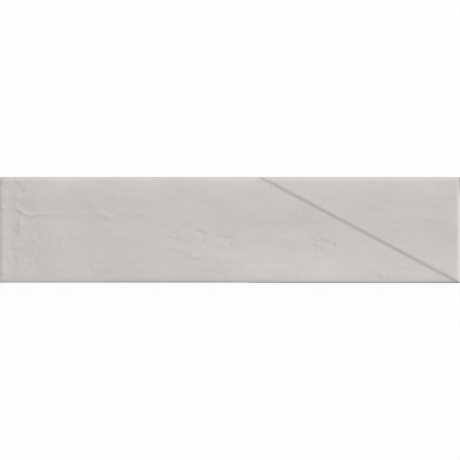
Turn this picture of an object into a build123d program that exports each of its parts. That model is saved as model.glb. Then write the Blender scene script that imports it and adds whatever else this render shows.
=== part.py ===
from build123d import *
import math
import os

# Tile body, in millimetres: length along X, width along Y, glazed face up.
face_length = 300.0
face_width = 69.0
thickness = 8.5
corner_radius = 0.6

# Pressed edge: the face falls away in an arc, then a small arris turns it into the side.
cushion_run = 2.8
cushion_drop = 0.7
arris_radius = 0.5

# Sides: an upright band under the face edge, and below it a skirt drawn in so the die lets go.
band_bottom = 4.0
skirt_draft = 3.0

# Groove: straight from a point on the far long edge to the near right-hand corner.
groove_start = 169.0
groove_width = 2.2
groove_depth = 0.3
groove_draft = 15.0
groove_root_radius = 0.2
groove_lip_radius = 0.15

# Keyed back: shallow pockets between ribs, so that adhesive takes hold of the bed.
pockets_along = 14
pockets_across = 4
pocket_depth = 0.8
pocket_draft = 20.0
pocket_corner = 2.0
rib_width = 3.0
rib_border = 4.5

# Sizes that follow from the ones above.
cushion_radius = (cushion_run**2 + cushion_drop**2) / (2 * cushion_drop)
skirt_inset = band_bottom * math.tan(math.radians(skirt_draft))
bed_length = face_length - 2 * skirt_inset
bed_width = face_width - 2 * skirt_inset
pitch_along = (bed_length - 2 * rib_border + rib_width) / pockets_along
pitch_across = (bed_width - 2 * rib_border + rib_width) / pockets_across
groove_run = face_length - groove_start
groove_bearing = math.degrees(math.atan2(-face_width, groove_run))


# A bar with the pressed edge along both sides. Its flanks stand just outside the tile's own,
# so the arris comes down to the side at a steep slant and the outline alone cuts it off.
def cushioned_bar(span, length):
    overrun = arris_radius / 25
    turn = math.degrees(math.asin((cushion_run + overrun) / cushion_radius))
    with BuildSketch(Plane.XZ) as section:
        with BuildLine():
            flat = Line((0, thickness), (span / 2 - cushion_run, thickness))
            fall = JernArc(flat @ 1, (1, 0), cushion_radius, -turn)
            flank = Line(fall @ 1, (span / 2 + overrun, -thickness))
            Line(flank @ 1, (0, -thickness))
            mirror(about=Plane.YZ)
        make_face()
        fillet(section.vertices().group_by(Axis.Y)[1], arris_radius)
    return extrude(section.sketch, length, both=True)


# The outline carried up from the skirt, and crowned where a long and a short bar cross:
# their cushions meet in mitred hips that run out at the corners.
def tile_blank():
    outline = Pos(0, 0, band_bottom) * RectangleRounded(face_length, face_width, corner_radius)
    skirt = extrude(outline, -band_bottom, taper=skirt_draft)
    band = extrude(outline, thickness)
    along = cushioned_bar(face_length, face_width)
    across = Rot(0, 0, 90) * cushioned_bar(face_width, face_length)
    return skirt + (band & along & across)


# A drafted channel with a round root, level from end to end, so the falling cushion
# swallows it just short of the edges. The lips flare to meet the face softly.
def groove_cutter():
    slope = math.tan(math.radians(groove_draft))
    lip_rise = groove_lip_radius / 40
    root = thickness - groove_depth
    lip = thickness + lip_rise
    clear = lip + thickness
    half_root = groove_width / 2 - groove_depth * slope
    half_lip = groove_width / 2 + lip_rise * slope
    half_clear = half_lip + 2 * groove_lip_radius
    with BuildSketch(Plane.YZ) as section:
        with BuildLine():
            Polyline((0, root), (half_root, root), (half_lip, lip), (half_clear, lip))
            Polyline((half_clear, lip), (half_clear, clear), (0, clear))
            mirror(about=Plane.YZ)
        make_face()
        fillet(section.vertices().group_by(Axis.Y)[0], groove_root_radius)
        inner_lips = section.vertices().group_by(Axis.Y)[-2].sort_by(lambda v: abs(v.X))[:2]
        fillet(inner_lips, groove_lip_radius)
    channel = extrude(section.sketch, math.hypot(groove_run, face_width), both=True)
    return Pos(groove_start / 2, 0, 0) * Rot(0, 0, groove_bearing) * channel


# Pockets in a grid centred on the bed, each drafted like the die that pressed it.
def back_pockets():
    mouth = RectangleRounded(pitch_along - rib_width, pitch_across - rib_width, pocket_corner)
    pocket = extrude(mouth, pocket_depth, taper=pocket_draft)
    return GridLocations(pitch_along, pitch_across, pockets_along, pockets_across) * pocket


tile = tile_blank() - groove_cutter() - back_pockets()
tile.label = "tile"
os.makedirs("parts", exist_ok=True)
export_step(tile, "parts/tile.step")
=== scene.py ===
import math
import bpy
import bmesh
import numpy as np
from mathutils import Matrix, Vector


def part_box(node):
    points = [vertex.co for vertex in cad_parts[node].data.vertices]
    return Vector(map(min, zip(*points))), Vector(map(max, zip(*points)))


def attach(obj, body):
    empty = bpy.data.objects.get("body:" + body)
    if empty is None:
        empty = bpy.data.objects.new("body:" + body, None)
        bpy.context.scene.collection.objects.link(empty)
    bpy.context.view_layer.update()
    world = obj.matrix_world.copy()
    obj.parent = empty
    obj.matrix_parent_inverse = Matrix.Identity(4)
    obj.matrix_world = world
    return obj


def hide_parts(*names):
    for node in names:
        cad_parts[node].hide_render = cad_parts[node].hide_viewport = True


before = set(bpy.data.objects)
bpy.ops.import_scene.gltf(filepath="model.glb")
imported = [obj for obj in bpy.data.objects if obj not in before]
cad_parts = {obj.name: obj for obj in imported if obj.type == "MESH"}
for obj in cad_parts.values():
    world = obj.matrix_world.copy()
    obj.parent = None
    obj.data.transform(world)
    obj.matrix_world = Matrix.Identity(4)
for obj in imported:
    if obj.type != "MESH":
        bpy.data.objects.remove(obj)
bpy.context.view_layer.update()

mm = 0.001
scene = bpy.context.scene
scene.view_settings.view_transform = "Standard"


def linear(hexColour):  # sRGB hex to the linear colour that shaders take
    parts = [int(hexColour[i:i + 2], 16) / 255 for i in (1, 3, 5)]
    return [c / 12.92 if c <= 0.04045 else ((c + 0.055) / 1.055) ** 2.4 for c in parts] + [1.0]


def addNode(tree, kind, settings=None, values=None, links=None):
    # a node with its settings, the values of its inputs, and the sockets that are linked to them
    node = tree.nodes.new(kind)
    for name, value in (settings or {}).items():
        setattr(node, name, value)
    for name, value in (values or {}).items():
        node.inputs[name].default_value = value
    for name, socket in (links or {}).items():
        tree.links.new(socket, node.inputs[name])
    return node


def smooth(t):  # 0 to 1 with level ends: 3t^2 - 2t^3
    t = np.clip(t, 0.0, 1.0)
    return t * t * (3 - 2 * t)


def bell(t):  # 1 in the middle, falling away on both sides: exp(-t^2 / 2)
    return np.exp(-t ** 2 / 2)


def waves(x, y, seed, length, stretch=1.0, count=28, spread=0.45):
    # sum of plane waves in random directions, their lengths spread about one length in mm, scaled to unit
    # deviation; stretch draws the pattern out along the tile
    rng = np.random.default_rng(seed)
    angle = rng.uniform(0, 2 * np.pi, count)
    size = 2 * np.pi / (length * np.exp(rng.uniform(-spread, spread, count)))
    phase = rng.uniform(0, 2 * np.pi, count)
    total = np.zeros(np.broadcast(x, y).shape)
    for a, k, p in zip(angle, size, phase):
        total += np.cos(k * (x * np.cos(a) / stretch + y * np.sin(a)) + p)
    return total / math.sqrt(count / 2)


# everything about the tile is in millimetres, on the box of the CAD node that it stands for
low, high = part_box("tile")
tileLength, tileWidth, tileThick = [(high[i] - low[i]) / mm for i in range(3)]
halfLength, halfWidth = tileLength / 2, tileWidth / 2

edge = {
    # how far in each pressed cushion starts, how far it falls, and the fall of the last turn into the side
    "left": (2.6, 0.6, 0.12),
    "right": (2.6, 0.95, 0.45),
    "near": (2.4, 0.5, 0.3),
    "far": (2.8, 0.5, 0.12),
    "arrisRun": 0.65,          # plan width of the last turn
    "hip": 6,                  # power of the mean that joins the cushions at the corners
    # the long edges also fall away slowly: over about this length, by this much
    "farSlow": (4.0, 0.48),
    "nearSlow": (3.0, 0.15),
    "shadeRoundFrom": (5.0, 16.0),   # the near arris turns down more, and carries painted shade, from this x on, coming up over this length
    "shadeRound": 0.25,              # by this much all along
    "shadeRoundMore": [(62.0, 20.0, 0.45), (145.0, 22.0, 0.75)],   # and here by more: x, half length, how much
}


def fromRim(x, y):  # distance to the nearest edge
    return np.minimum(halfLength - np.abs(x), halfWidth - np.abs(y))


def cushion(d, run, drop, turn):
    # by distance from the edge: a circular fall over the run, and a quarter ellipse at its end
    radius = (run ** 2 + drop ** 2) / (2 * drop)
    inward = np.clip(run - d, 0.0, run)
    arris = 1 - np.clip(d / edge["arrisRun"], 0.0, 1.0)
    return radius - np.sqrt(radius ** 2 - inward ** 2) + turn * (1 - np.sqrt(1 - arris ** 2))


def nearRoundAndShade(x):  # a smooth step along the near arris, times how much it turns down all along and two bells; this also sets its painted shade
    start, rise = edge["shadeRoundFrom"]
    swells = sum(more * bell((x - middle) / half) for middle, half, more in edge["shadeRoundMore"])
    return smooth((x - start) / rise) * (edge["shadeRound"] + swells)


def edgeFall(x, y):  # the end and side cushions joined by a high-power mean, so that the hips are soft
    hip = edge["hip"]
    ends = np.where(x < 0, cushion(halfLength + x, *edge["left"]), cushion(halfLength - x, *edge["right"]))
    run, drop, turn = edge["near"]
    near = cushion(halfWidth + y, run, drop, turn + nearRoundAndShade(x))
    sides = np.where(y < 0, near, cushion(halfWidth - y, *edge["far"]))
    for inward, (run, drop) in ((halfWidth - y, edge["farSlow"]), (halfWidth + y, edge["nearSlow"])):
        sides = sides + drop * np.exp(-inward / run)
    return (ends ** hip + sides ** hip) ** (1 / hip)


groove = {
    "start": 169.45,         # along the far edge, from the left end
    "end": 299.45,           # and along the near one
    "width": 2.2,
    "depth": 0.12,           # the glaze has filled more than half of what was pressed
    "wall": 1.3,             # plan width of each wall, which the glaze has made into a soft curve
    "rimRun": (0.3, 1.7),    # it starts this far inside the rim, and comes to its depth over this length
    # thick glaze in it, which is also painted shade: its middle off the groove's line, its half width, and
    # how softly it ends
    "pool": (-0.32, 1.53, 0.83),
    "runOut": (-0.4, 1.2),   # the dark line comes up at the far edge: from here, over this length
    "taper": (1.0, 2.4),     # and its lower side stands back there: by this much, over this length
    # share of the pooled colour, glaze and painted shade, at the far edge, further in, and how far in
    "poolTone": (0.43, 0.478, 14.0),
}
grooveRun = groove["end"] - groove["start"]
grooveNormal = np.array([tileWidth, grooveRun]) / math.hypot(tileWidth, grooveRun)  # to the upper right
grooveFrom = np.array([groove["start"] - halfLength, halfWidth])


def grooveOffset(x, y):  # distance square to the groove's line, positive to its upper right
    return (x - grooveFrom[0]) * grooveNormal[0] + (y - grooveFrom[1]) * grooveNormal[1]


def grooveFall(x, y):
    # level-bottomed channel: full depth inside, a smooth step over each wall, running out at the rim
    start, run = groove["rimRun"]
    inside = (groove["width"] + groove["wall"]) / 2 - np.abs(grooveOffset(x, y))
    return groove["depth"] * smooth((fromRim(x, y) - start) / run) * smooth(inside / groove["wall"])


# marks left by hand in the soft clay: x, y, half length, half widths above and below, bearing, height
handMarks = [
    (-137.2, 3.9, 2.2, 0.55, 2.2, 90, 0.28),
    (-137.2, -1.4, 1.3, 0.6, 2.2, 90, 0.15),
    (-138.9, -0.2, 0.7, 0.6, 1.2, 90, 0.07),
    (-132.0, 28.2, 1.0, 0.6, 1.6, -45, 0.18),
    (-135.1, 25.7, 0.9, 0.6, 1.6, -45, -0.14),
    (-138.3, 29.9, 1.8, 0.7, 2.2, -30, -0.25),
    (-138.6, 21.0, 1.0, 0.9, 0.9, 0, 0.1),
    (-148.3, 14.5, 1.4, 0.8, 0.8, -35, 0.2),
    (-145.0, -16.2, 1.9, 1.4, 5.0, 20, 0.24),
    (-140.3, -11.0, 1.4, 0.7, 2.2, 120, 0.16),
    (-139.3, -16.4, 1.4, 0.7, 2.0, 110, 0.13),
    (-130.4, -17.3, 0.8, 0.8, 0.8, 0, 0.07),
    (-130.0, -20.9, 1.0, 0.8, 0.8, 0, 0.09),
    (-137.6, -25.3, 2.4, 1.6, 1.6, -20, 0.12),
    (-19.2, -1.5, 2.3, 0.5, 1.5, -10, -0.27),
    (-17.2, 1.5, 0.9, 0.8, 0.8, 0, 0.1),
    (-10.6, 3.2, 1.6, 0.6, 0.8, -35, 0.07),
    (-34.4, -5.6, 2.6, 0.5, 2.6, -9, -0.22),
    (-38.6, -5.7, 1.2, 0.5, 2.6, -20, -0.15),
    (-35.0, -3.2, 1.6, 1.2, 0.5, 90, -0.15),
    (-3.8, -5.1, 3.0, 0.5, 2.0, -3, -0.2),
    (-3.4, -9.6, 1.2, 0.8, 0.8, 0, 0.12),
    (2.6, -2.3, 1.6, 0.7, 0.9, 0, 0.08),
    (-22.5, -17.7, 3.2, 1.6, 0.6, -8, 0.2),
    (-17.2, -6.8, 0.7, 0.6, 1.2, -45, -0.13),
    (-16.6, -9.5, 0.7, 0.6, 1.2, -45, -0.13),
    (-9.4, -21.2, 0.7, 0.6, 1.2, -45, -0.16),
    (54.4, -6.4, 0.7, 0.6, 1.2, -45, -0.15),
    (59.5, -6.4, 0.7, 0.6, 1.2, -45, -0.15),
    (62.8, -7.6, 0.7, 0.6, 1.2, -45, -0.13),
    (55.3, -10.6, 1.0, 0.6, 1.2, -25, -0.18),
    (67.5, -10.0, 0.9, 0.55, 1.5, -45, -0.24),
    (72.6, -9.6, 0.7, 0.6, 1.2, -45, -0.11),
    (54.6, -14.1, 0.8, 0.6, 1.2, -45, -0.16),
    (59.8, -14.1, 0.7, 0.6, 1.2, -45, -0.13),
    (66.5, -16.0, 1.3, 0.6, 1.4, -30, -0.07),
    (98.2, -29.8, 1.5, 2.2, 0.7, 0, 0.23),
    (103.8, -30.0, 1.3, 2.0, 0.75, 0, 0.24),
    (98.2, -26.8, 0.9, 0.8, 0.8, 0, 0.09),
    (-89.8, -26.8, 0.9, 0.7, 1.3, -45, -0.16),
    (36.0, 7.4, 20.0, 5.0, 1.7, 0, 0.15),
    (-22.0, 7.0, 8.0, 3.0, 1.2, 0, 0.1),
    (-35.5, 12.6, 4.0, 2.5, 1.0, -4, 0.08),
    (6.0, -7.6, 6.0, 2.5, 1.4, -2, 0.1),
    (40.0, -7.4, 6.0, 2.5, 1.6, 0, 0.14),
    (128.9, 26.0, 6.0, 1.2, 4.0, -41, 0.09),
    (-92.0, 10.3, 4.5, 1.4, 0.7, -5, 0.04),
    (-81.4, 9.3, 3.6, 1.4, 0.7, -12, 0.2),
    (-81.0, 7.2, 3.0, 1.4, 0.8, 0, 0.11),
    (-82.0, 1.0, 3.0, 1.4, 0.8, 0, 0.1),
    (-138.2, 11.3, 2.2, 0.6, 1.2, -37, -0.1),
    (-124.6, -1.8, 1.2, 0.6, 1.3, -50, -0.14),
    (-124.2, -5.2, 1.3, 0.6, 1.3, -40, -0.13),
    (-0.2, -9.7, 1.0, 0.6, 1.2, -60, -0.12),
    (-131.2, -22.8, 1.0, 0.6, 1.3, -45, -0.1),
]


def handMark(x, y, cx, cy, along, above, below, bearing, height):
    # bell-shaped bump or dent, drawn out along its bearing, with its own half width on each side
    c, s = math.cos(math.radians(bearing)), math.sin(math.radians(bearing))
    u = (x - cx) * c + (y - cy) * s
    v = (y - cy) * c - (x - cx) * s
    return height * bell(u / along) * bell(v / np.where(v > 0, above, below))


# curled fold near the left end: a ridge along an arc, which runs out into a crease
curl = {
    "centre": (-126.3, 26.1),
    "radius": 16.9,
    "height": 0.2,
    # bearings from the centre at which the ridge comes up, is full and ends, and over how many degrees
    "rise": (206.0, 22.0),
    "full": (224.0, 14.0),
    "end": (275.0, -14.0),
    "crest": (0.65, 0.4),       # share of the height all along, and what is added where it is full
    "crestHalf": (0.6, 0.9),    # half widths outside and inside the arc
    "valley": (0.55, 2.6),      # share of the height, and how far inside the arc its bottom lies
    "valleyHalf": (4.5, 1.2),   # half widths on its inner and outer side
    "crease": (-130.5, 5.0),    # comes up from this x, over this length
    "sinkFrom": -123.0,         # and sinks from this one on:
    "sink": (0.4, 6.0, 45.0),   # this share of it over the first length, and all of it over the second
    "lift": 0.9,                # lies this far above the arc's foot
    "creaseHalf": (1.6, 0.6),   # half widths above and below
}


def curledFold(x, y):
    # ridge and valley are bells of the distance from the arc, times smooth steps of the bearing;
    # the crease is a bell across, times decays along it
    cx, cy = curl["centre"]
    out = np.hypot(x - cx, y - cy) - curl["radius"]
    bearing = np.degrees(np.arctan2(y - cy, x - cx)) % 360
    rise, full, end = [smooth((bearing - curl[name][0]) / curl[name][1]) for name in ("rise", "full", "end")]
    share, more = curl["crest"]
    crest = (share + more * full) * bell(out / np.where(out > 0, *curl["crestHalf"]))
    share, inside = curl["valley"]
    valley = share * bell((out + inside) / np.where(out < -inside, *curl["valleyHalf"]))
    start, over = curl["crease"]
    share, soon, late = curl["sink"]
    beyond = np.maximum(x - curl["sinkFrom"], 0)
    along = smooth((x - start) / over) * (1 - share + share * np.exp(-beyond / soon)) * np.exp(-beyond / late)
    foot = cy - curl["radius"] + curl["lift"]
    crease = along * bell((y - foot) / np.where(y > foot, *curl["creaseHalf"]))
    return curl["height"] * (rise * end * (crest - valley) + crease)


# valley beside the left edge
trough = {
    "x": -143.2,
    "depth": 0.2,
    "half": (2.2, 3.4),      # half widths, left and right
    # its ends, and the length over which it comes to its depth from there
    "near": (-36.0, 14.0),
    "far": (34.0, -12.0),
    "uneven": [(0.2, 3.1, 3.0), (0.1, 1.7, 1.0)],   # sines along it: share, mm for each radian, shift
}


def leftTrough(x, y):  # a bell across, times a smooth step at each end and sines along it
    across = x - trough["x"]
    deep = 1 + sum(share * np.sin(y / length + shift) for share, length, shift in trough["uneven"])
    for start, over in (trough["near"], trough["far"]):
        deep = deep * smooth((y - start) / over)
    return -trough["depth"] * deep * bell(across / np.where(across < 0, *trough["half"]))


# small lumps that come up towards the left end, most of all near the middle of the width
lumps = {
    "x": (-120.0, 21.0),     # middle and half length of the patch
    "y": (-12.0, 12.0),      # and its middle and half width
    "beside": 0.4,           # share of them that is left beside it
    "height": 0.026,
    "length": 3.2,
    "spread": 0.8,
}


def roughPatch(x, y):  # a wave sum, times a bell along the tile and a bell across it that ends at a share
    (middleX, halfX), (middleY, halfY) = lumps["x"], lumps["y"]
    across = lumps["beside"] + (1 - lumps["beside"]) * bell((y - middleY) / halfY)
    lumpy = waves(x, y, 15, lumps["length"], spread=lumps["spread"])
    return lumps["height"] * bell((x - middleX) / halfX) * across * lumpy


relief = {
    "allowance": 0.33,       # the field lies this far under the box's top, so that the crests stay inside it
    # height, length and stretch of the orange peel in the glaze, of its ripple and of the face's slow swell
    "peel": (0.004, 2.6, 1.0),
    "ripple": (0.018, 7.0, 2.4),
    "swell": (0.07, 30.0, 2.0),
    "rimRun": (-0.4, 2.4),   # all relief comes up from this far inside the rim, over this length
}


def reliefHeight(x, y):
    # peel, ripple and swell are wave sums; the fold, the trough, the lumps and the hand marks are added to
    # them; all fade at the rim
    total = curledFold(x, y) + leftTrough(x, y) + roughPatch(x, y)
    for seed, kind in enumerate(("peel", "ripple", "swell"), 11):
        height, length, stretch = relief[kind]
        total = total + height * waves(x, y, seed, length, stretch)
    for mark in handMarks:
        total = total + handMark(x, y, *mark)
    start, run = relief["rimRun"]
    return total * smooth((fromRim(x, y) - start) / run) - relief["allowance"]


def faceHeight(x, y):  # thickness less the edge fall and the groove, with the relief on top
    return tileThick - edgeFall(x, y) - grooveFall(x, y) + reliefHeight(x, y)


grid = {
    "rows": 114,             # across the width
    "fan": 410,              # columns left of the groove
    "field": 112,            # and right of it
    "crowd": 0.18,           # how much closer the rows lie at the middle, and the columns at the left
    "band": 2.8,             # each edge has lines of its own in a strip this wide, this far in:
    "edgeLines": np.array([0.0, 0.03, 0.09, 0.18, 0.3, 0.48, 0.68, 0.9, 1.1, 1.5, 2.1]),
    # and so has each side of the groove, in groove widths from its line
    "grooveLines": np.array([1.4, 1.1, 0.9, 0.77, 0.66, 0.55, 0.44, 0.33, 0.21, 0.09]),
}


def faceGrid():
    # rows are level, closest in the middle of the width; columns are upright at the left edge, fan out until
    # they lie along the groove, and close up again from the groove to the right edge
    rim, band, crowd = grid["edgeLines"], grid["band"], grid["crowd"]
    step = np.linspace(-1, 1, grid["rows"])
    middle = (halfWidth - band) * ((1 - crowd) * step + crowd * step ** 3)
    rows = np.concatenate([rim - halfWidth, middle, halfWidth - rim[::-1]])[:, None]
    line = grooveFrom[0] + (halfWidth - rows) * grooveRun / tileWidth
    offsets = groove["width"] * grid["grooveLines"]
    offsets = np.concatenate([-offsets, [0.0], offsets[::-1]])
    channel = line + offsets[None, :] / grooveNormal[0]
    leftRim = np.repeat((rim - halfLength)[None, :], len(rows), 0)
    spread = np.linspace(0, 1, grid["fan"] + 1)[None, :-1]
    spread = (1 - crowd) * spread + crowd * spread ** 2
    fan = band - halfLength + (channel[:, :1] - band + halfLength) * spread
    farSide = np.minimum(channel[:, -1:], halfLength)
    endBand = np.clip((halfLength - farSide) / 2, 0.0, band)
    field = farSide + (halfLength - endBand - farSide) * np.linspace(0, 1, grid["field"] + 1)[None, 1:]
    rightRim = halfLength - rim[None, ::-1] * endBand / band
    x = np.minimum(np.hstack([leftRim, fan, channel, field, rightRim]), halfLength)
    return x, np.repeat(rows, x.shape[1], 1)


outline = {
    "cornerRadius": 0.6,
    "wander": 0.01,                # all edges stray by this much,
    "longSines": (23.0, 9.7, 2),   # in a slow and a quick sine: mm for each radian, and the slow one's shift
    "endSines": (13.0, 6.1, 1),
    "nearInset": 0.25,             # the left half of the near edge stands back by this much,
    "insetTo": (20.0, 16.0),       # up to this x, and comes forward over this length
    "fade": 6.0,                   # all of it has faded out this far inside
}


def roundCorners(x, y):
    # square-to-disc map in each corner box: a' = a sqrt(1 - b^2/2), b' = b sqrt(1 - a^2/2)
    r = outline["cornerRadius"]
    a = np.clip((np.abs(x) - halfLength + r) / r, 0, 1)
    b = np.clip((np.abs(y) - halfWidth + r) / r, 0, 1)
    inBox = (a > 0) & (b > 0)
    newX = np.sign(x) * (halfLength - r + r * a * np.sqrt(1 - b * b / 2))
    newY = np.sign(y) * (halfWidth - r + r * b * np.sqrt(1 - a * a / 2))
    return np.where(inBox, newX, x), np.where(inBox, newY, y)


def edgeStray(along, sign, slow, quick, shift):  # a slow and a quick sine along an edge, never below 0
    sines = 0.6 * np.sin(along / slow + shift * sign) + 0.4 * np.sin(along / quick - sign)
    return outline["wander"] * (1 + sines)


def wanderEdges(x, y):
    # each edge stands back by two sines along it, and the near one by a smooth step; all fade out inside
    signX, signY, fade = np.sign(x), np.sign(y), outline["fade"]
    backX = edgeStray(y, signX, *outline["endSines"])
    backY = edgeStray(x, signY, *outline["longSines"])
    last, over = outline["insetTo"]
    backY = backY + np.where(y < 0, outline["nearInset"] * smooth((last - x) / over), 0)
    nearX = smooth((np.abs(x) - halfLength + fade) / fade)
    nearY = smooth((np.abs(y) - halfWidth + fade) / fade)
    return x - signX * backX * nearX, y - signY * backY * nearY


def quads(index):  # the four corners of each cell of an index grid, anticlockwise
    return np.stack([index[:-1, :-1], index[:-1, 1:], index[1:, 1:], index[1:, :-1]], -1).reshape(-1, 4)


def around(sheet):  # the border of a grid, anticlockwise from its lower left corner
    return np.concatenate([sheet[0], sheet[1:, -1], sheet[-1, -2::-1], sheet[-2:0:-1, 0]])


def borderTurn(x, y, halfX, halfY):  # place along a rectangle's border, 0 to 4, one unit for each side
    onSide = np.select([y <= -halfY, x >= halfX, y >= halfY], [0, 1, 2], 3)
    across = np.select([onSide == 0, onSide == 1, onSide == 2],
                       [x / halfX, y / halfY, -x / halfX], -y / halfY)
    return onSide + np.clip(0.5 + across / 2, 0, 1 - 1e-9)


gridX, gridY = faceGrid()
faceZ = faceHeight(gridX, gridY)
faceX, faceY = wanderEdges(*roundCorners(gridX, gridY))
facePoints = np.stack([faceX, faceY, faceZ], -1).reshape(-1, 3)
faceIndex = np.arange(faceX.size).reshape(faceX.shape)
print("face grid", faceX.shape, "highest", round(faceZ.max(), 3))

# painted shade: dark bands on the arrises, standing for their shade, and darker colour in the gouges, where
# shade lies
paintedShade = {
    # how far in the dark band along an arris reaches, and how softly it ends
    "near": (0.74, 0.2),
    "right": (1.1, 0.2),
    "far": (0.72, 0.2),
    "nearLeft": (-30.0, 16.0, 0.4),   # the near one is painted shade where that arris turns down more, and here: x, half length, share
    "rightFrom": (19.5, 14.0),        # the right one darkens from this y on, over this length
    "farShare": 0.3,                  # the far one is only this dark
    "gouge": (0.25, 0.1),             # share for each mm of a gouge's depth, and the most
}


def arrisBand(name, inward):  # 1 at an edge, and a smooth step to 0 further in
    reach, soft = paintedShade[name]
    return smooth((reach - inward) / soft)


def pooledGlazeAndShade(x, y):
    # pooled glaze and painted shade: a band along the groove's line with a smooth step at each side, narrower
    # and paler at the far edge
    inward = halfWidth - y
    middle, half, soft = groove["pool"]
    back, over = groove["taper"]
    taper = back / 2 * np.clip(1 - inward / over, 0, 1)
    band = smooth((half - taper - np.abs(grooveOffset(x, y) - middle - taper)) / soft)
    bare, rise = groove["runOut"]
    first, last, run = groove["poolTone"]
    return band * smooth((inward - bare) / rise) * (first + (last - first) * smooth(inward / run))


def paintedShadeAndPool(x, y):  # painted shade: the greatest of the groove's pool, which is partly pooled glaze, with the far arris, the gouges and the other arrises
    middle, half, share = paintedShade["nearLeft"]
    near = arrisBand("near", halfWidth + y) * (nearRoundAndShade(x) + share * bell((x - middle) / half))
    start, run = paintedShade["rightFrom"]
    right = arrisBand("right", halfLength - x) * np.clip((y - start) / run, 0, 1)
    far = paintedShade["farShare"] * arrisBand("far", halfWidth - y)
    perDepth, most = paintedShade["gouge"]
    gouges = sum(handMark(x, y, *mark) for mark in handMarks if mark[-1] < 0)
    return np.maximum.reduce([pooledGlazeAndShade(x, y) + far, np.clip(-perDepth * gouges, 0, most), near, right])


glazeCoatAndLight = {
    "usual": 0.5,                 # how thin the glaze is, from 0, thick, to 1, which is lighter; some patches add painted light and shade to it
    "drift": (0.05, 26.0, 1.5),   # height, length and stretch of its slow changes
    # and patches that are lighter or darker: x, y, half length, half width, by how much; those beside the
    # marks, gouges, crease and arrises are painted light and shade, the broad ones lighten or darken the face
    # in wide patches
    "patches": [
        (66.0, -25.0, 46.0, 9.0, 0.38), (6.0, -15.0, 26.0, 7.0, 0.2), (-40.0, -9.0, 18.0, 6.0, 0.12),
        (-40.0, 31.0, 100.0, 5.0, 0.15), (126.0, 11.0, 20.0, 12.0, -0.16), (-76.0, 11.0, 16.0, 8.0, -0.16),
        (-104.0, 4.0, 9.0, 24.0, 0.1), (-143.0, 19.0, 7.0, 9.0, -0.12), (40.0, 9.0, 22.0, 6.0, -0.12),
        (-130.5, 17.0, 4.5, 3.5, -0.16), (-64.0, 19.0, 8.0, 5.0, 0.16), (-129.0, 0.0, 6.0, 5.0, -0.15),
        (104.0, -15.5, 13.0, 4.5, -0.17), (-46.0, -33.0, 22.0, 4.0, -0.15), (39.0, -9.5, 10.0, 4.0, -0.12),
        (-149.3, 30.8, 2.0, 2.2, -0.45), (-149.8, 26.8, 0.9, 1.3, 0.35), (-150.0, 6.0, 0.6, 28.0, 0.7),
        (150.0, -2.0, 1.0, 40.0, 0.5), (148.8, 25.0, 0.6, 10.0, 0.25), (-138.3, 4.0, 1.4, 3.4, -0.2),
        (-138.2, -1.4, 1.3, 1.4, -0.2), (-149.5, 33.0, 1.8, 1.8, -0.6), (-136.6, 11.4, 1.4, 1.0, -0.25),
        (128.0, 26.0, 14.0, 3.0, 0.12), (130.0, 17.5, 14.0, 2.5, -0.12), (142.0, 31.5, 5.0, 2.0, -0.12),
        (70.0, 28.5, 40.0, 3.5, 0.1), (82.0, -12.0, 5.0, 7.0, -0.08), (-146.7, -20.0, 2.0, 4.8, 0.36),
        (-144.0, 23.6, 3.4, 1.6, 0.2), (-140.8, 28.6, 2.0, 1.4, -0.22), (-146.6, -5.3, 2.6, 1.2, -0.2),
        (-149.8, 15.3, 0.8, 1.2, 0.35), (1.0, -8.3, 7.0, 2.6, -0.17),
    ],
}


def thinnessAndLight(x, y):  # the usual, with a wave sum and a bell for each patch
    height, length, stretch = glazeCoatAndLight["drift"]
    total = glazeCoatAndLight["usual"] + height * waves(x, y, 17, length, stretch)
    for middleX, middleY, along, across, share in glazeCoatAndLight["patches"]:
        total = total + share * bell((x - middleX) / along) * bell((y - middleY) / across)
    return total


# painted shade on the arrises and in the gouges, with the groove's pooled glaze and its painted shade
shadeAndPoolTone = paintedShadeAndPool(gridX, gridY)
# glaze thinness, with painted light and shade in some of its patches
thinAndLit = thinnessAndLight(gridX, gridY)
print("glaze from", round(thinAndLit.min(), 2), "to", round(thinAndLit.max(), 2), "darkest", round(shadeAndPoolTone.max(), 2))

side = {
    "bandBottom": 4.0,        # the upright band ends here, and the skirt draws in below it
    "skirtDraft": 3.0,        # degrees
    "glazeLine": 5.4,         # the glaze ends about here,
    "glazeWaves": [(0.35, 24.0), (0.175, 6.0)],   # on a line that strays in waves of this height and length
    "glazeLimits": (4.3, 6.7),
    "glazeStep": 0.12,        # the bare clay lies this far behind the glaze
    "stepHeight": 0.1,
    "sway": (0.018, 15.0),    # and is uneven by waves of this height and length
    "bedRound": (0.25, 0.4),  # worn lower edge: how far in and how far up
    # rings of points: share of the way from the rim to the glaze's line, with the inset there, then heights
    "glazedRings": [(0.08, 0.0), (0.4, 0.0), (0.85, 0.01)],
    "clayRings": (3.9, 2.0, 0.5, 0.1, 0.0),
}
skirtSlope = math.tan(math.radians(side["skirtDraft"]))
rimIndex = around(faceIndex)
rimTurn = borderTurn(around(gridX), around(gridY), halfLength, halfWidth)
keep = np.append(True, np.diff(rimTurn) > 1e-6)   # columns that have run together at a corner count once
rimIndex, rimTurn = rimIndex[keep], rimTurn[keep]


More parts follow.
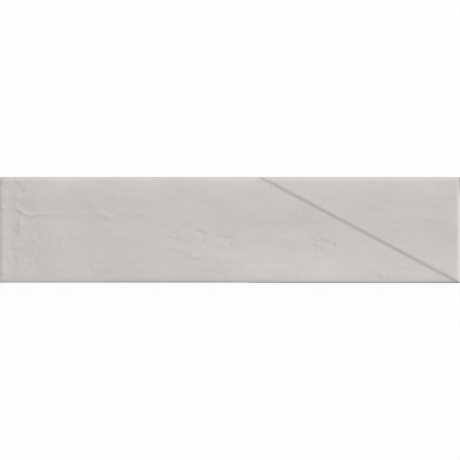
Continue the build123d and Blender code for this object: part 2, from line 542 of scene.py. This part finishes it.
def sideRings(rim):
    # the rim carried down: glazed band to a straying line, a small step back, bare clay, drafted skirt and a
    # worn bed edge, which is a quarter ellipse
    x, y, top = rim.T
    innerX, innerY = halfLength - outline["cornerRadius"], halfWidth - outline["cornerRadius"]
    out = rim[:, :2] - np.stack([np.clip(x, -innerX, innerX), np.clip(y, -innerY, innerY)], -1)
    out = out / np.linalg.norm(out, axis=1, keepdims=True)
    line = side["glazeLine"]
    for seed, (height, length) in enumerate(side["glazeWaves"], 21):
        line = line + height * waves(x, y, seed, length)
    line = np.clip(line, *side["glazeLimits"])
    height, length = side["sway"]
    sway = height * waves(x, y, 23, length)
    step = side["glazeStep"]
    levels = [(top + (line - top) * share, inset) for share, inset in side["glazedRings"]]
    levels += [(line, step / 2), (line - side["stepHeight"], step)]
    wornIn, wornUp = side["bedRound"]
    for z in side["clayRings"]:
        worn = wornIn * (1 - math.sqrt(1 - max(0.0, 1 - z / wornUp) ** 2))
        levels.append((np.full_like(x, z), step + (side["bandBottom"] - z) * skirtSlope + worn))
    rings = []
    for z, inset in levels:
        plan = rim[:, :2] - out * (inset + sway * (z < line))[:, None]
        rings.append(np.column_stack([plan, z]))
    return rings


rings = sideRings(facePoints[rimIndex])
count = len(rimIndex)
ringIndex = np.vstack([rimIndex] + [faceIndex.size + i * count + np.arange(count) for i in range(len(rings))])
closed = np.hstack([ringIndex, ringIndex[:, :1]])
sideQuads = quads(closed[::-1])
lastGlazed = len(side["glazedRings"])   # the row of faces that ends at the glaze's line
print("side rings", len(rings), "points in each", count)

back = {
    "along": 14, "across": 4,   # pockets, as the die has them
    "depth": 0.8, "wall": 0.29,
    "corner": 2.0,
    "rib": 3.0, "border": 4.5,
    "margin": 0.9,              # the grid starts this far inside the outline
    "lipLine": 0.15,            # grid lines this far on each side of a pocket's mouth,
    "floorLine": 0.9,           # and one this far in on its floor
    "floorWaves": (0.03, 7.0),  # the floors are uneven by waves of this height and length
}


def pocketLines(number, span):
    # grid lines across one direction: six on each side of every pocket, the first on the rib and the last
    # where its corner ends
    bed = span - 2 * side["bandBottom"] * skirtSlope
    pitch = (bed - 2 * back["border"] + back["rib"]) / number
    half = (pitch - back["rib"]) / 2
    lip = back["lipLine"]
    offsets = np.array([-lip, 0.0, lip, back["wall"], back["floorLine"], back["corner"]])
    local = np.concatenate([offsets - half, (half - offsets)[::-1]])
    centres = (np.arange(number) - (number - 1) / 2) * pitch
    lines = (centres[:, None] + local[None, :]).ravel()
    ends = span / 2 - back["margin"]
    return np.concatenate([[-ends], lines, [ends]]), pitch, half


def nearestCentre(place, pitch, number):  # centre of the pocket that a place belongs to
    shift = (number - 1) / 2
    return (np.clip(np.round(place / pitch + shift), 0, number - 1) - shift) * pitch


def backSurface():
    # pocket depth is a smooth step of the distance inside its mouth; the mouth's corners are rounded as the
    # tile's are
    linesX, pitchX, halfX = pocketLines(back["along"], tileLength)
    linesY, pitchY, halfY = pocketLines(back["across"], tileWidth)
    x, y = np.meshgrid(linesX, linesY)
    middleX = nearestCentre(x, pitchX, back["along"])
    middleY = nearestCentre(y, pitchY, back["across"])
    u, v = x - middleX, y - middleY
    inside = np.minimum(halfX - np.abs(u), halfY - np.abs(v))
    z = back["depth"] * smooth(inside / back["wall"])
    r = back["corner"]
    a = np.maximum((np.abs(u) - halfX + r) / r, 0)
    b = np.maximum((np.abs(v) - halfY + r) / r, 0)
    inBox = (a > 0) & (b > 0) & (inside > -back["rib"] / 2)
    over = np.maximum(np.maximum(a, b), 1)   # the line on the rib is the same arc drawn larger
    newU = np.sign(u) * (halfX - r + r * a * np.sqrt(np.maximum(1 - (b / over) ** 2 / 2, 0)))
    newV = np.sign(v) * (halfY - r + r * b * np.sqrt(np.maximum(1 - (a / over) ** 2 / 2, 0)))
    x = np.where(inBox, middleX + newU, x)
    y = np.where(inBox, middleY + newV, y)
    height, length = back["floorWaves"]
    z = z + np.where(inside > back["wall"], height * waves(x, y, 31, length), 0)
    return x, y, np.maximum(z, 0)


backX, backY, backZ = backSurface()
backFirst = faceIndex.size + len(rings) * count
backIndex = backFirst + np.arange(backX.size).reshape(backX.shape)
backQuads = quads(backIndex[:, ::-1])


def zipper(outer, outerTurn, inner, innerTurn):
    # strip between two loops: each edge of one loop gets a triangle to the last point reached on the other
    fullTurn = 4.0
    nextOuter = np.append(outerTurn[1:], fullTurn)
    nextInner = np.append(innerTurn[1:], fullTurn)
    j = np.searchsorted(np.append(innerTurn, fullTurn), nextOuter, "right") - 1
    i = np.searchsorted(np.append(outerTurn, fullTurn), nextInner, "left") - 1
    toInner = np.stack([np.roll(outer, -1), outer, np.append(inner, inner[0])[j]], -1)
    toOuter = np.stack([outer[i], inner, np.roll(inner, -1)], -1)
    return np.vstack([toInner, toOuter])


innerTurn = borderTurn(around(backX), around(backY), backX.max(), backY.max())
stripFaces = zipper(ringIndex[-1], rimTurn, around(backIndex), innerTurn)
print("back grid", backX.shape, "strip", len(stripFaces))

points = np.vstack([facePoints] + rings + [np.stack([backX, backY, backZ], -1).reshape(-1, 3)])
faceQuads = quads(faceIndex)
faces = faceQuads.tolist() + sideQuads.tolist() + stripFaces.tolist() + backQuads.tolist()
ringRow = np.repeat(np.arange(len(rings))[::-1], count)
surface = np.concatenate([np.zeros(len(faceQuads), int), (ringRow > lastGlazed).astype(int),
                          np.ones(len(stripFaces) + len(backQuads), int)])
mesh = bpy.data.meshes.new("glazedTile")
mesh.from_pydata((points * mm).tolist(), [], faces)
mesh.polygons.foreach_set("material_index", surface)
for name, values, rest in (("shadeAndPoolTone", shadeAndPoolTone, 0.0), ("thinAndLit", thinAndLit, glazeCoatAndLight["usual"])):
    layer = mesh.attributes.new(name, "FLOAT", "POINT")
    layer.data.foreach_set("value", np.append(values.ravel(), np.full(len(points) - values.size, rest)))
work = bmesh.new()
work.from_mesh(mesh)
bmesh.ops.remove_doubles(work, verts=work.verts, dist=0.002 * mm)
bmesh.ops.dissolve_degenerate(work, edges=work.edges, dist=0.001 * mm)
looseEdges = sum(len(e.link_faces) != 2 for e in work.edges)
volume = work.calc_volume(signed=True) / mm ** 3
print("edges that don't join two faces", looseEdges, "volume mm3", round(volume))
work.to_mesh(mesh)
work.free()
mesh.shade_smooth()
tile = bpy.data.objects.new("glazedTile", mesh)
scene.collection.objects.link(tile)
mesh.calc_loop_triangles()
print("tile triangles", len(mesh.loop_triangles))
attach(tile, "root")
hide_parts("tile")

# satin glaze: a thin opaque glass with a soft sheen, pale warm grey, a little uneven where it ran thick or
# thin, with painted light and shade at the marks and arrises, and painted shade in the gouges and the groove
glazeLook = {
    "thinAndLit": "#D4CFCC", "thickAndShaded": "#BDB9B8",   # the ends of the range; most of the face lies near its middle
    # the colour of the pooled glaze in the groove and of the painted shade on the arrises and in the gouges
    "poolAndShadeColour": "#8E8B89",
    "mottle": 2.4,         # mm across the speckle in the glaze
    "speckle": 0.2,        # its share of the range
    "grain": 1.3,          # mm, fine orange peel
    "grainHeight": 0.02,   # mm
    "sheen": 9.0,          # mm across the patches of more and less sheen
    "roughness": (0.47, 0.53),
}
glaze = bpy.data.materials.new("satinGlaze")
glaze.use_nodes = True
tree = glaze.node_tree
shader = tree.nodes["Principled BSDF"]
place = addNode(tree, "ShaderNodeTexCoord").outputs["Object"]
noise = {}
for name, detail in (("mottle", 3.0), ("sheen", 2.0), ("grain", 2.0)):
    texture = addNode(tree, "ShaderNodeTexNoise", links={"Vector": place},
                      values={"Scale": 1 / (glazeLook[name] * mm), "Detail": detail})
    noise[name] = texture.outputs["Fac"]
clear = addNode(tree, "ShaderNodeMapRange", values={"From Min": 0.3, "From Max": 0.7},
                links={"Value": noise["mottle"]})
# glaze thinness, with painted light and shade at the marks, the gouges and the arrises
run = addNode(tree, "ShaderNodeAttribute", {"attribute_name": "thinAndLit"})
speckledThinAndLit = addNode(tree, "ShaderNodeMix", values={"Factor": glazeLook["speckle"]},
                   links={"A": run.outputs["Fac"], "B": clear.outputs["Result"]})
tint = addNode(tree, "ShaderNodeValToRGB", links={"Fac": speckledThinAndLit.outputs["Result"]})
tint.color_ramp.elements[0].color = linear(glazeLook["thickAndShaded"])
tint.color_ramp.elements[1].color = linear(glazeLook["thinAndLit"])
# painted shade and the groove's pooled glaze draw the colour towards the pooled one
pool = addNode(tree, "ShaderNodeAttribute", {"attribute_name": "shadeAndPoolTone"})
shadedCoat = addNode(tree, "ShaderNodeMix", {"data_type": "RGBA"}, {"B": linear(glazeLook["poolAndShadeColour"])},
               {"Factor": pool.outputs["Fac"], "A": tint.outputs["Color"]})
tree.links.new(shadedCoat.outputs["Result"], shader.inputs["Base Color"])
least, most = glazeLook["roughness"]
rough = addNode(tree, "ShaderNodeMapRange", links={"Value": noise["sheen"]},
                values={"From Min": 0.3, "From Max": 0.7, "To Min": least, "To Max": most})
tree.links.new(rough.outputs["Result"], shader.inputs["Roughness"])
bump = addNode(tree, "ShaderNodeBump", links={"Height": noise["grain"]},
               values={"Strength": 1.0, "Distance": glazeLook["grainHeight"] * mm})
tree.links.new(bump.outputs["Normal"], shader.inputs["Normal"])
shader.inputs["IOR"].default_value = 1.5
mesh.materials.append(glaze)

# fired bisque: bare pressed clay, dry and matt, an uneven buff with the sandy grain of pressed powder and a
# few grog specks
bisqueLook = {
    "pale": "#DED2C1", "dark": "#C6B49C",    # the ends of the range
    "patch": 14.0,         # mm across an uneven patch of the firing
    "grain": 0.6,          # mm, grain of the powder; the real one is finer and wouldn't show
    "grainShare": 0.4,     # how much of the unevenness is grain
    "grainHeight": 0.2,    # mm
    "grog": 1.3,           # mm, spacing of the specks, drawn as coarse as they need to show
    "grogColour": "#AD9375",
}
bisque = bpy.data.materials.new("firedBisque")
bisque.use_nodes = True
tree = bisque.node_tree
shader = tree.nodes["Principled BSDF"]
place = addNode(tree, "ShaderNodeTexCoord").outputs["Object"]
noise = {}
for name, detail in (("patch", 4.0), ("grain", 3.0), ("grog", 1.0)):
    texture = addNode(tree, "ShaderNodeTexNoise", links={"Vector": place},
                      values={"Scale": 1 / (bisqueLook[name] * mm), "Detail": detail})
    noise[name] = texture.outputs["Fac"]
uneven = addNode(tree, "ShaderNodeMix", values={"Factor": bisqueLook["grainShare"]},
                 links={"A": noise["patch"], "B": noise["grain"]})
clay = addNode(tree, "ShaderNodeValToRGB", links={"Fac": uneven.outputs["Result"]})
for stop, position, colour in zip(clay.color_ramp.elements, (0.35, 0.65), ("dark", "pale")):
    stop.position = position
    stop.color = linear(bisqueLook[colour])
speck = addNode(tree, "ShaderNodeMapRange", values={"From Min": 0.68, "From Max": 0.76, "To Max": 0.7},
                links={"Value": noise["grog"]})
body = addNode(tree, "ShaderNodeMix", {"data_type": "RGBA"}, {"B": linear(bisqueLook["grogColour"])},
               {"Factor": speck.outputs["Result"], "A": clay.outputs["Color"]})
tree.links.new(body.outputs["Result"], shader.inputs["Base Color"])
shader.inputs["Roughness"].default_value = 0.9
bump = addNode(tree, "ShaderNodeBump", values={"Distance": bisqueLook["grainHeight"] * mm},
               links={"Height": noise["grain"]})
tree.links.new(bump.outputs["Normal"], shader.inputs["Normal"])
mesh.materials.append(bisque)
print("materials", [m.name for m in mesh.materials])

studio = {
    "keyTowards": (1.0, 1.0, 1.3),   # from the tile to the lamp
    "keyDistance": 6.0,              # metres
    "keySize": 4.2,
    "keyPower": 342.0,
    "sky": 0.366,
    "floorHalf": 6.0,
    "floorColour": "#F6F6F6",
    "floorWhite": 0.95,              # how much of the floor's white the camera sees whatever falls on it
}


def straightRay(tree):
    # the greatest of three ray kinds: 1 for what the camera sees, itself, in gloss or through glass, and 0
    # for light that falls on things
    path = addNode(tree, "ShaderNodeLightPath")
    inGloss = addNode(tree, "ShaderNodeMath", {"operation": "MAXIMUM"},
                      links={0: path.outputs["Is Glossy Ray"], 1: path.outputs["Is Transmission Ray"]})
    return addNode(tree, "ShaderNodeMath", {"operation": "MAXIMUM"},
                   links={0: path.outputs["Is Camera Ray"], 1: inGloss.outputs[0]}).outputs[0]


half = studio["floorHalf"]
floorMesh = bpy.data.meshes.new("floor")
corners = [(-half, -half, 0), (half, -half, 0), (half, half, 0), (-half, half, 0)]
floorMesh.from_pydata(corners, [], [(0, 1, 2, 3)])
floor = bpy.data.objects.new("floor", floorMesh)
scene.collection.objects.link(floor)

# white paper: matt, and the camera sees most of it as plain white, with the tile's shadow in the rest
paper = bpy.data.materials.new("whitePaper")
paper.use_nodes = True
tree = paper.node_tree
matt = tree.nodes["Principled BSDF"]
matt.inputs["Base Color"].default_value = linear(studio["floorColour"])
matt.inputs["Roughness"].default_value = 0.9
seen = addNode(tree, "ShaderNodeMath", {"operation": "MULTIPLY"}, {1: studio["floorWhite"]},
               {0: straightRay(tree)})
glow = addNode(tree, "ShaderNodeEmission", values={"Color": (1, 1, 1, 1), "Strength": 1.0})
mix = addNode(tree, "ShaderNodeMixShader", links={0: seen.outputs[0], 1: matt.outputs[0], 2: glow.outputs[0]})
tree.links.new(mix.outputs[0], tree.nodes["Material Output"].inputs["Surface"])
floorMesh.materials.append(paper)

lamp = bpy.data.lights.new("keyLamp", "AREA")
lamp.shape = "SQUARE"
lamp.size = studio["keySize"]
lamp.energy = studio["keyPower"]
key = bpy.data.objects.new("keyLamp", lamp)
scene.collection.objects.link(key)
towards = Vector(studio["keyTowards"]).normalized()
key.location = towards * studio["keyDistance"]
key.rotation_euler = towards.to_track_quat("Z", "Y").to_euler()

world = bpy.data.worlds.new("studioSky")
scene.world = world
world.use_nodes = True
tree = world.node_tree
level = addNode(tree, "ShaderNodeMapRange", values={"To Min": studio["sky"], "To Max": 1.0},
                links={"Value": straightRay(tree)})
sky = tree.nodes["Background"]
sky.inputs["Color"].default_value = (1, 1, 1, 1)
tree.links.new(level.outputs["Result"], sky.inputs["Strength"])

view = {
    "across": 299.4,       # mm of the rim's plane that fill the picture
    "rim": 7.2,            # height of that plane
}
lens = bpy.data.cameras.new("overhead")
lens.lens = 200
lens.sensor_width = 36
camera = bpy.data.objects.new("overhead", lens)
scene.collection.objects.link(camera)
distance = view["across"] * mm * lens.lens / lens.sensor_width
camera.location = (0, 0, distance + view["rim"] * mm)
scene.camera = camera
print("studio and camera ready")
